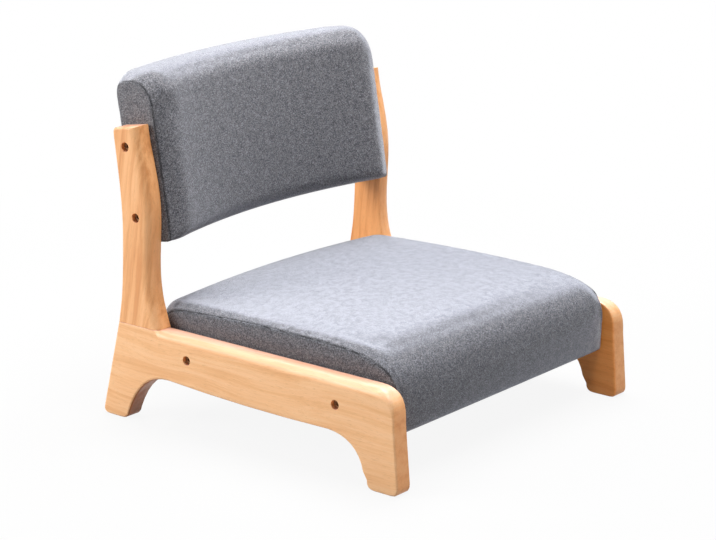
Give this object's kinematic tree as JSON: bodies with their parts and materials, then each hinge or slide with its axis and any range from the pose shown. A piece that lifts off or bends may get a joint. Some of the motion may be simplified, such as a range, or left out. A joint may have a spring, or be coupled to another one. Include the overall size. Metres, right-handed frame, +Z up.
{
  "type": "low floor chair",
  "caption": "Low legless-style floor chair: wooden side frames with short legs and back posts hold a padded waterfall seat and a padded, curved, leaning backrest.",
  "frame": {"origin": "on the floor, under the middle of the chair's overall length and width", "axes": "+X to the front, where the sitter's legs go; +Y to the sitter's left; +Z up"},
  "size_m": [0.5226, 0.51, 0.4707],
  "materials": {
    "frame_wood": "clear satin lacquer over straight-grained light wood",
    "dowel_wood": "plain",
    "inner_wood": "sawn",
    "plywood": "sanded",
    "foam": "open-cell foam",
    "seat_fabric": "heathered grey woven fabric",
    "backrest_fabric": "heathered grey woven fabric",
    "lining": "black spun-bonded lining",
    "bolt": "antique bronze",
    "washer": "zinc plated",
    "insert": "plain"
  },
  "bodies": {
    "root": {"right_side_rail": "frame_wood", "left_side_rail": "frame_wood", "right_back_post": "frame_wood", "left_back_post": "frame_wood", "right_post_dowel_rear": "dowel_wood", "right_post_dowel_front": "dowel_wood", "left_post_dowel_rear": "dowel_wood", "left_post_dowel_front": "dowel_wood", "seat_frame_right": "inner_wood", "seat_frame_left": "inner_wood", "seat_frame_front": "inner_wood", "seat_frame_rear": "inner_wood", "seat_board": "plywood", "seat_foam": "foam", "seat_cover": "seat_fabric", "seat_dust_cover": "lining", "backrest_board": "plywood", "backrest_cleat_right": "inner_wood", "backrest_cleat_left": "inner_wood", "backrest_foam": "foam", "backrest_cover": "backrest_fabric", "right_seat_front_bolt": "bolt", "right_seat_front_washer": "washer", "right_seat_front_insert": "insert", "right_seat_rear_bolt": "bolt", "right_seat_rear_washer": "washer", "right_seat_rear_insert": "insert", "right_back_upper_bolt": "bolt", "right_back_upper_washer": "washer", "right_back_upper_insert": "insert", "right_back_lower_bolt": "bolt", "right_back_lower_washer": "washer", "right_back_lower_insert": "insert", "left_seat_front_bolt": "bolt", "left_seat_front_washer": "washer", "left_seat_front_insert": "insert", "left_seat_rear_bolt": "bolt", "left_seat_rear_washer": "washer", "left_seat_rear_insert": "insert", "left_back_upper_bolt": "bolt", "left_back_upper_washer": "washer", "left_back_upper_insert": "insert", "left_back_lower_bolt": "bolt", "left_back_lower_washer": "washer", "left_back_lower_insert": "insert"}
  },
  "joints": []
}
